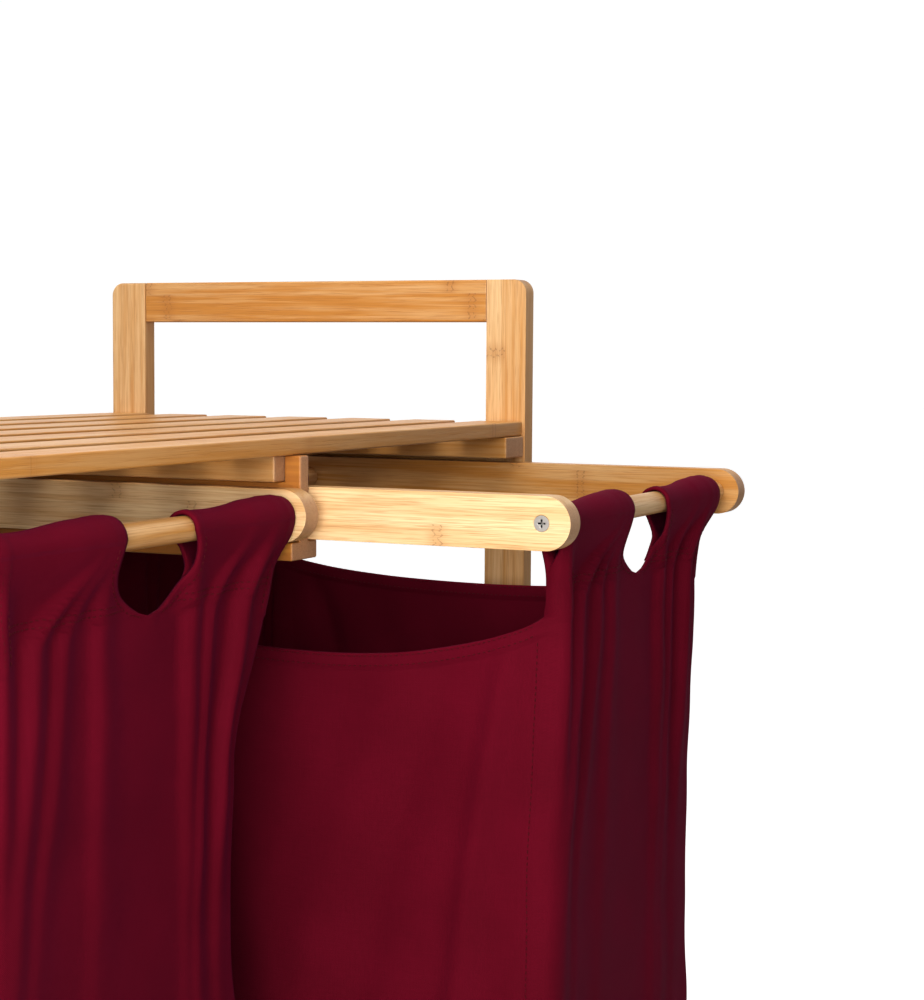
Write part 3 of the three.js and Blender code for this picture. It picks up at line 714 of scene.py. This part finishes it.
def on_grid(grid, row, column):
    """The point of a grid at a fractional row and column."""
    r = min(int(row), grid.shape[0] - 2)
    c = min(int(column), grid.shape[1] - 2)
    a, b = row - r, column - c
    near = grid[r, c] * (1 - b) + grid[r, c + 1] * b
    far = grid[r + 1, c] * (1 - b) + grid[r + 1, c + 1] * b
    return near * (1 - a) + far * a


def normal_at(grid, row, column):
    """The grid's unit normal at a fractional row and column."""
    last_row, last_column = grid.shape[0] - 1, grid.shape[1] - 1
    above = on_grid(grid, max(row - 0.5, 0), column)
    below = on_grid(grid, min(row + 0.5, last_row), column)
    before = on_grid(grid, row, max(column - 0.5, 0))
    after = on_grid(grid, row, min(column + 0.5, last_column))
    normal = np.cross(below - above, after - before)
    return normal / max(np.linalg.norm(normal), 1e-9)


STITCH_PITCH = 0.0036
STITCH_LENGTH = 0.0027
STITCH_RADIUS = 0.00032


def along_run(distance, run, values):
    """The value at a distance along a line whose points lie at the distances in run."""
    return np.array([np.interp(distance, run, values[:, k]) for k in range(3)])


def sew(places, both, lift, sink):
    """Stitches along a line of (point, normal) places: vertices and faces."""
    points = np.array([p for p, n in places])
    normals = np.array([n for p, n in places])
    run = np.concatenate([[0], np.cumsum(np.linalg.norm(np.diff(points, axis=0), axis=1))])
    vertices, faces = [], []
    for start in np.arange(STITCH_PITCH * 0.5, run[-1] - STITCH_LENGTH, STITCH_PITCH):
        ends = [along_run(d, run, points) for d in (start, start + STITCH_LENGTH)]
        up = along_run(start + STITCH_LENGTH / 2, run, normals)
        along = ends[1] - ends[0]
        length = np.linalg.norm(along)
        if length < 0.001:
            continue
        along = along / length
        up = up - along * up.dot(along)
        up = up / max(np.linalg.norm(up), 1e-9)
        across = np.cross(along, up)
        for face in (1, -1) if both else (1,):
            first = len(vertices)
            centre = (ends[0] + ends[1]) / 2 + up * face * lift
            vertices.append(centre - along * length / 2 - up * face * sink)
            for t in (-0.28, 0.28):
                for k in range(6):
                    a = k * math.tau / 6
                    ring = across * math.cos(a) + up * math.sin(a)
                    vertices.append(centre + along * t * length + ring * STITCH_RADIUS)
            vertices.append(centre + along * length / 2 - up * face * sink)
            for k in range(6):
                n = (k + 1) % 6
                faces.append((first, first + 1 + n, first + 1 + k))
                faces.append((first + 1 + k, first + 1 + n, first + 7 + n, first + 7 + k))
                faces.append((first + 13, first + 7 + k, first + 7 + n))
    return vertices, faces


def grid_faces(rows, columns, start):
    """The quads of a grid whose first vertex has the index start."""
    corners = [start + r * columns + c for r in range(rows - 1) for c in range(columns - 1)]
    return [(i, i + 1, i + columns + 1, i + columns) for i in corners]


def row_at(lengths, column, distance):
    """The fractional row at which a column's cloth is this long."""
    return float(np.interp(distance, lengths[:, int(round(column))], np.arange(len(lengths))))


def mirrored(grid, span):
    """A front grid turned into the rear one, span metres behind it."""
    turned = grid.copy()
    turned[..., 1] = span - turned[..., 1]
    return turned


def bag_grids(side, span, seed):
    """Every panel of a bag: (part, hand) -> (points, cloth coordinates)."""
    grids = {}
    for hand in (-1, 1):
        grids["front", hand] = half_panel(hand, 1, seed, side)
        back, uv = half_panel(hand, -1, seed + 4.2, "right")
        grids["rear", hand] = (mirrored(back, span), uv)
    for hand in (-1, 1):
        seams = [grids[end, hand][0][FRONT_START + SEAM_ROW :, 0] for end in ("front", "rear")]
        grids["side", hand] = side_panel(*seams, hand, HEM_SAG[hand], seed + hand)
    edges = {}
    for end in ("front", "rear"):
        low = [grids[end, hand][0][-1] for hand in (-1, 1)]
        edges[end] = np.concatenate([low[0], low[1][::-1][1:]])
    sides = [grids["side", hand][0][-1] for hand in (-1, 1)]
    grids["base", 0] = base_panel(edges["front"], edges["rear"], *sides)
    return grids


def thickness_share(part, points):
    """The share of the full cloth thickness at each point: more on hems and folded edges."""
    share = np.full(points.shape[:2], PLAIN)
    if part == "side":
        share[measure_down(points) <= HEM + 0.0003] = 1.0
    elif part in ("front", "rear"):
        gap = np.abs(points[:, :, 0] - points[:, :1, 0])
        rim = np.abs(points[:, :, 0] - points[:, -1:, 0])
        above = points[:, :, 2] > -SEAM_TOP - 0.001
        near_hole = (points[:, :, 2] > -HOLE_TIP - 0.004) & (rim < 0.006)
        share[(above & (gap < 0.0095)) | near_hole] = RIM
        # the back layer, and where it turns over the dowel
        back = share[: FLAP_ROWS + 2]
        np.maximum(back, FLAP, out=back)
    return share


def sewn_shell(name, grids):
    """One cloth object from a bag's panels, joined along their shared edges."""
    vertices, faces, uvs, thick = [], [], [], []
    for (part, hand), (points, uv) in grids.items():
        faces.extend(grid_faces(*points.shape[:2], len(vertices)))
        vertices.extend(points.reshape(-1, 3))
        uvs.extend(uv.reshape(-1, 2))
        thick.extend(thickness_share(part, points).ravel())
    bag = mesh_object(name, vertices, faces, cloth, uvs)
    group = bag.vertex_groups.new(name="thick")
    for index, share in enumerate(thick):
        group.add([index], float(share), "REPLACE")
    joined = bmesh.new()
    joined.from_mesh(bag.data)
    bmesh.ops.remove_doubles(joined, verts=joined.verts, dist=SAME_POINT)
    bmesh.ops.recalc_face_normals(joined, faces=joined.faces)
    joined.to_mesh(bag.data)
    joined.free()
    skin = bag.modifiers.new("cloth_thickness", "SOLIDIFY")
    skin.thickness = CLOTH_THICK
    skin.offset = 0.0
    skin.vertex_group = "thick"
    return bag


def seam_lines(grids):
    """Every line of stitches on a bag: (grid, [(row, column)], outward, both faces, lift)."""
    hem_lift = CLOTH_THICK / 2 + 0.0001
    rim_lift = CLOTH_THICK * RIM / 2 - 0.00020
    flat_lift = CLOTH_THICK * PLAIN / 2 + 0.00012
    first, tip = FRONT_START, FRONT_START + HOLE_ROWS - 1
    seam = FRONT_START + SEAM_ROW
    for hand in (-1, 1):
        grid = grids["side", hand][0]
        lengths = measure_down(grid)
        outward = np.array([hand, 0, 0])
        inner_columns = range(1, SIDE_COLUMNS - 1)
        # both edges of the top hem, beside both corner seams, and above the base
        for distance in (0.0016, 0.0074):
            track = [(row_at(lengths, c, distance), float(c)) for c in inner_columns]
            yield grid, track, outward, True, hem_lift
        for column in (0.9, SIDE_COLUMNS - 1.9):
            track = [(float(r), column) for r in range(7, len(grid) - 5)]
            yield grid, track, outward, False, flat_lift
        low = len(grid) - 7.5
        yield grid, [(low, float(c)) for c in inner_columns], outward, False, flat_lift
        for end, facing in (("front", -1), ("rear", 1)):
            grid = grids[end, hand][0]
            outward = np.array([0, facing, 0])
            # a double row on a loop's outer edge, one row beside the hand hole
            for column in (2.2, 4.1):
                track = [(float(r), column) for r in range(first, seam)]
                yield grid, track, outward, False, rim_lift
            column = PANEL_COLUMNS - 3.8
            track = [(float(r), column) for r in range(first, tip + 1)]
            yield grid, track, outward, False, rim_lift
            # a double row across the foot of the loop, and one above the base
            for row in (tip - 2.2, tip - 3.6):
                track = [(row, float(c)) for c in range(3, PANEL_COLUMNS - 3)]
                yield grid, track, outward, False, flat_lift
            track = [(low + seam, float(c)) for c in range(1, PANEL_COLUMNS)]
            yield grid, track, outward, False, flat_lift


def make_stitches(name, grids):
    """The bag's stitching as one object."""
    vertices, faces = [], []
    for grid, track, outward, both, lift in seam_lines(grids):
        places = []
        for row, column in track:
            normal = normal_at(grid, row, column)
            if normal.dot(outward) < 0:
                normal = -normal
            places.append((on_grid(grid, row, column), normal))
        made, made_faces = sew(places, both, lift, STITCH_RADIUS * 2.2)
        start = len(vertices)
        vertices.extend(made)
        faces.extend([tuple(start + i for i in face) for face in made_faces])
    return mesh_object(name, vertices, faces, thread)


def make_bag(side):
    """A sewn bag and its stitching, hung on its two dowels."""
    front_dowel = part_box(f"{side}_front_dowel")
    rear_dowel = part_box(f"{side}_rear_dowel")
    middle = [(low + high) / 2 for low, high in zip(*front_dowel)]
    span = (rear_dowel[0][1] + rear_dowel[1][1]) / 2 - middle[1]
    origin = Vector((middle[0] + BAG_SHIFT[side], middle[1], middle[2]))
    grids = bag_grids(side, span, BAG_SEED[side])
    bag = sewn_shell(f"{side}_sewn_bag", grids)
    stitches = make_stitches(f"{side}_bag_stitching", grids)
    for piece in (bag, stitches):
        piece.location = origin
        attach(piece, f"{side}_drawer")
    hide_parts(f"{side}_laundry_bag")


for side in SIDES:
    make_bag(side)


# ---------------------------------------------------------------- wheels


def lathe(name, profile, centre, material, steps=72):
    """A solid turned about X from a closed profile of (x, radius) points."""
    vertices, faces = [], []
    for i in range(steps):
        a = i * math.tau / steps
        vertices += [(x, radius * math.cos(a), radius * math.sin(a)) for x, radius in profile]
    count = len(profile)
    for i in range(steps):
        near, far = i * count, (i + 1) % steps * count
        for k in range(count):
            n = (k + 1) % count
            faces.append((near + k, near + n, far + n, far + k))
    made = mesh_object(name, vertices, faces, material)
    made.location = centre
    return made


SHOULDER = 0.0042  # radius between a tyre's side and its tread
SHOULDER_STEPS = 8
CROWN = 0.0006  # how much lower the tread is at its sides
RIBS = 6


def tyre_profile(half, outer, inner):
    """A soft crowned tread with rounded shoulders, in (x, radius)."""
    shoulder = []
    for step in range(SHOULDER_STEPS, -1, -1):
        a = math.pi / 2 * step / SHOULDER_STEPS
        x = -half + SHOULDER * (1 - math.sin(a))
        shoulder.append((x, outer - SHOULDER * (1 - math.cos(a)) - CROWN))
    tread = [(x, outer - CROWN * (x / half) ** 2) for x in np.linspace(-half * 0.4, half * 0.4, 5)]
    far_shoulder = [(-x, radius) for x, radius in reversed(shoulder)]
    bead = half * 0.86
    foot = [(bead, inner + 0.001), (bead, inner), (-bead, inner), (-bead, inner + 0.001)]
    return shoulder + tread + far_shoulder + foot


def hub_profile(half, rim, bore, web):
    """A boss round the axle, a thin web and a rim flange, in (x, radius)."""
    face = [
        (-half * 0.93, bore),
        (-half * 0.93, bore + 0.0026),
        (-half * 0.86, bore + 0.0032),
        (-web, bore + 0.0036),
        (-web, rim - 0.0032),
        (-half * 0.84, rim - 0.0026),
        (-half * 0.90, rim - 0.0018),
        (-half * 0.90, rim - 0.0001),
    ]
    return face + [(-x, radius) for x, radius in reversed(face)]


def hub_ribs(name, half, rim, bore):
    """Flat ribs on each face of a wheel's web."""
    ribs = bmesh.new()
    for i in range(RIBS):
        for face in (-1, 1):
            turn = Matrix.Rotation(i * math.tau / RIBS, 4, "X")
            size = Matrix.Diagonal((half * 0.5, 0.0014, rim - bore - 0.0056, 1))
            shift = Matrix.Translation((face * half * 0.52, 0, (rim + bore) / 2 + 0.0002))
            bmesh.ops.create_cube(ribs, size=1.0, matrix=turn @ shift @ size)
    mesh = bpy.data.meshes.new(name)
    ribs.to_mesh(mesh)
    ribs.free()
    mesh.materials.append(nylon)
    spokes = bpy.data.objects.new(name, mesh)
    bpy.context.collection.objects.link(spokes)
    spokes.modifiers.new("eased_edges", "BEVEL").width = 0.0003
    return spokes


def make_wheel(side, end):
    """A caster wheel: rubber tyre, nylon hub and ribs."""
    name = f"{side}_{end}"
    node = f"{name}_caster_wheel"
    low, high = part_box(node)
    centre = Vector([(a + b) / 2 for a, b in zip(low, high)])
    half = (high[0] - low[0]) / 2
    outer = (high[2] - low[2]) / 2
    rim = outer * 0.68
    bore = 0.0036
    tyre = lathe(f"{name}_tyre", tyre_profile(half, outer, rim), centre, rubber, 96)
    hub = lathe(f"{name}_hub", hub_profile(half, rim, bore, half * 0.32), centre, nylon, 64)
    spokes = hub_ribs(f"{name}_hub_ribs", half, rim, bore)
    spokes.location = centre
    for piece in (tyre, hub, spokes):
        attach(piece, f"{name}_wheel")
    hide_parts(node)


for side in SIDES:
    for end in ENDS:
        make_wheel(side, end)


# ---------------------------------------------------------------- stage, light, camera


def make_stage():
    """A plain pale floor, lit white where the lens sees it."""
    material, tree, shader = node_material("studio_floor")
    path = tree.nodes.new("ShaderNodeLightPath").outputs["Is Camera Ray"]
    colour = blend_colour(tree, path, (0.60, 0.60, 0.60, 1), (0.92, 0.92, 0.92, 1))
    tree.links.new(colour, shader.inputs["Base Color"])
    shader.inputs["Emission Color"].default_value = (1, 1, 1, 1)
    tree.links.new(maths(tree, "MULTIPLY", path, 0.62), shader.inputs["Emission Strength"])
    shader.inputs["Roughness"].default_value = 0.9
    shader.inputs["Specular IOR Level"].default_value = 0.0
    reach = 30.0
    corners = [(-reach, -reach, 0), (reach, -reach, 0), (reach, reach, 0), (-reach, reach, 0)]
    floor = mesh_object("studio_floor", corners, [(0, 1, 2, 3)], material)


def make_light():
    """A bright room, a side and a top softbox, and a low card that lights under the shelf."""
    world = bpy.data.worlds.new("studio")
    bpy.context.scene.world = world
    world.use_nodes = True
    tree = world.node_tree
    path = tree.nodes.new("ShaderNodeLightPath")
    seen = maths(tree, "MAXIMUM", path.outputs["Is Camera Ray"], path.outputs["Is Glossy Ray"])
    # the room is brighter towards -X and darker towards -Y; mirrors and the lens see it plain
    direction = tree.nodes.new("ShaderNodeTexCoord").outputs["Generated"]
    towards = add(tree, "ShaderNodeSeparateXYZ", None, {0: direction})
    room = maths(tree, "MULTIPLY_ADD", towards.outputs["X"], -0.24, 0.44)
    room = maths(tree, "MULTIPLY_ADD", towards.outputs["Y"], 0.29, room)
    room = maths(tree, "MAXIMUM", room, 0.05)
    strength = add(tree, "ShaderNodeMix", None, {"Factor": seen, "A": room, "B": 1.02})
    tree.links.new(strength.outputs["Result"], tree.nodes["Background"].inputs["Strength"])
    tree.nodes["Background"].inputs["Color"].default_value = (1, 1, 1, 1)
    aim = Vector((0.1, -0.1, 0.6))
    for name, place, size, power in (
        ("side_softbox", (-1.50, -0.55, 0.60), 0.9, 9.8),
        ("top_softbox", (-0.60, -0.05, 2.30), 1.4, 23.0),
        ("low_card", (-0.80, -0.48, 0.80), 0.45, 4.6),
    ):
        light = bpy.data.objects.new(name, bpy.data.lights.new(name, "AREA"))
        bpy.context.collection.objects.link(light)
        light.data.shape = "SQUARE"
        light.data.size = size
        light.data.energy = power
        light.data.color = (1.0, 0.985, 0.96)
        light.visible_camera = False
        light.location = place
        light.rotation_euler = (Vector(place) - aim).to_track_quat("Z", "Y").to_euler()


# from the right front post's inner front edge, level with the handle's top
CAMERA_PLACE = (-1.3849, -0.5974, -0.0548)
CAMERA_TURN = (25.095, 4.144, 0.407)  # degrees: from +X towards +Y, down, and rolled
CAMERA_LENS = 73.0  # mm, on a sensor 36 mm wide


def make_camera():
    """The photograph's view, placed from the right front post and the right handle."""
    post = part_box("right_front_post")[0]
    anchor = Vector((post[0], post[1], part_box("right_handle_rail")[1][2]))
    yaw, pitch, roll = (math.radians(a) for a in CAMERA_TURN)
    flat = math.cos(pitch)
    forward = Vector((math.cos(yaw) * flat, math.sin(yaw) * flat, -math.sin(pitch)))
    level = forward.cross(Vector((0, 0, 1))).normalized()
    upright = level.cross(forward)
    right = level * math.cos(roll) + upright * math.sin(roll)
    up = right.cross(forward)
    camera = bpy.data.objects.new("camera", bpy.data.cameras.new("camera"))
    bpy.context.collection.objects.link(camera)
    camera.data.lens = CAMERA_LENS
    camera.data.sensor_width = 36.0
    turned = Matrix((right, up, -forward)).transposed().to_4x4()
    camera.matrix_world = Matrix.Translation(anchor + Vector(CAMERA_PLACE)) @ turned
    bpy.context.scene.camera = camera


make_stage()
make_light()
make_camera()
bpy.context.scene.view_settings.view_transform = "Standard"
bpy.context.scene.view_settings.gamma = 0.85
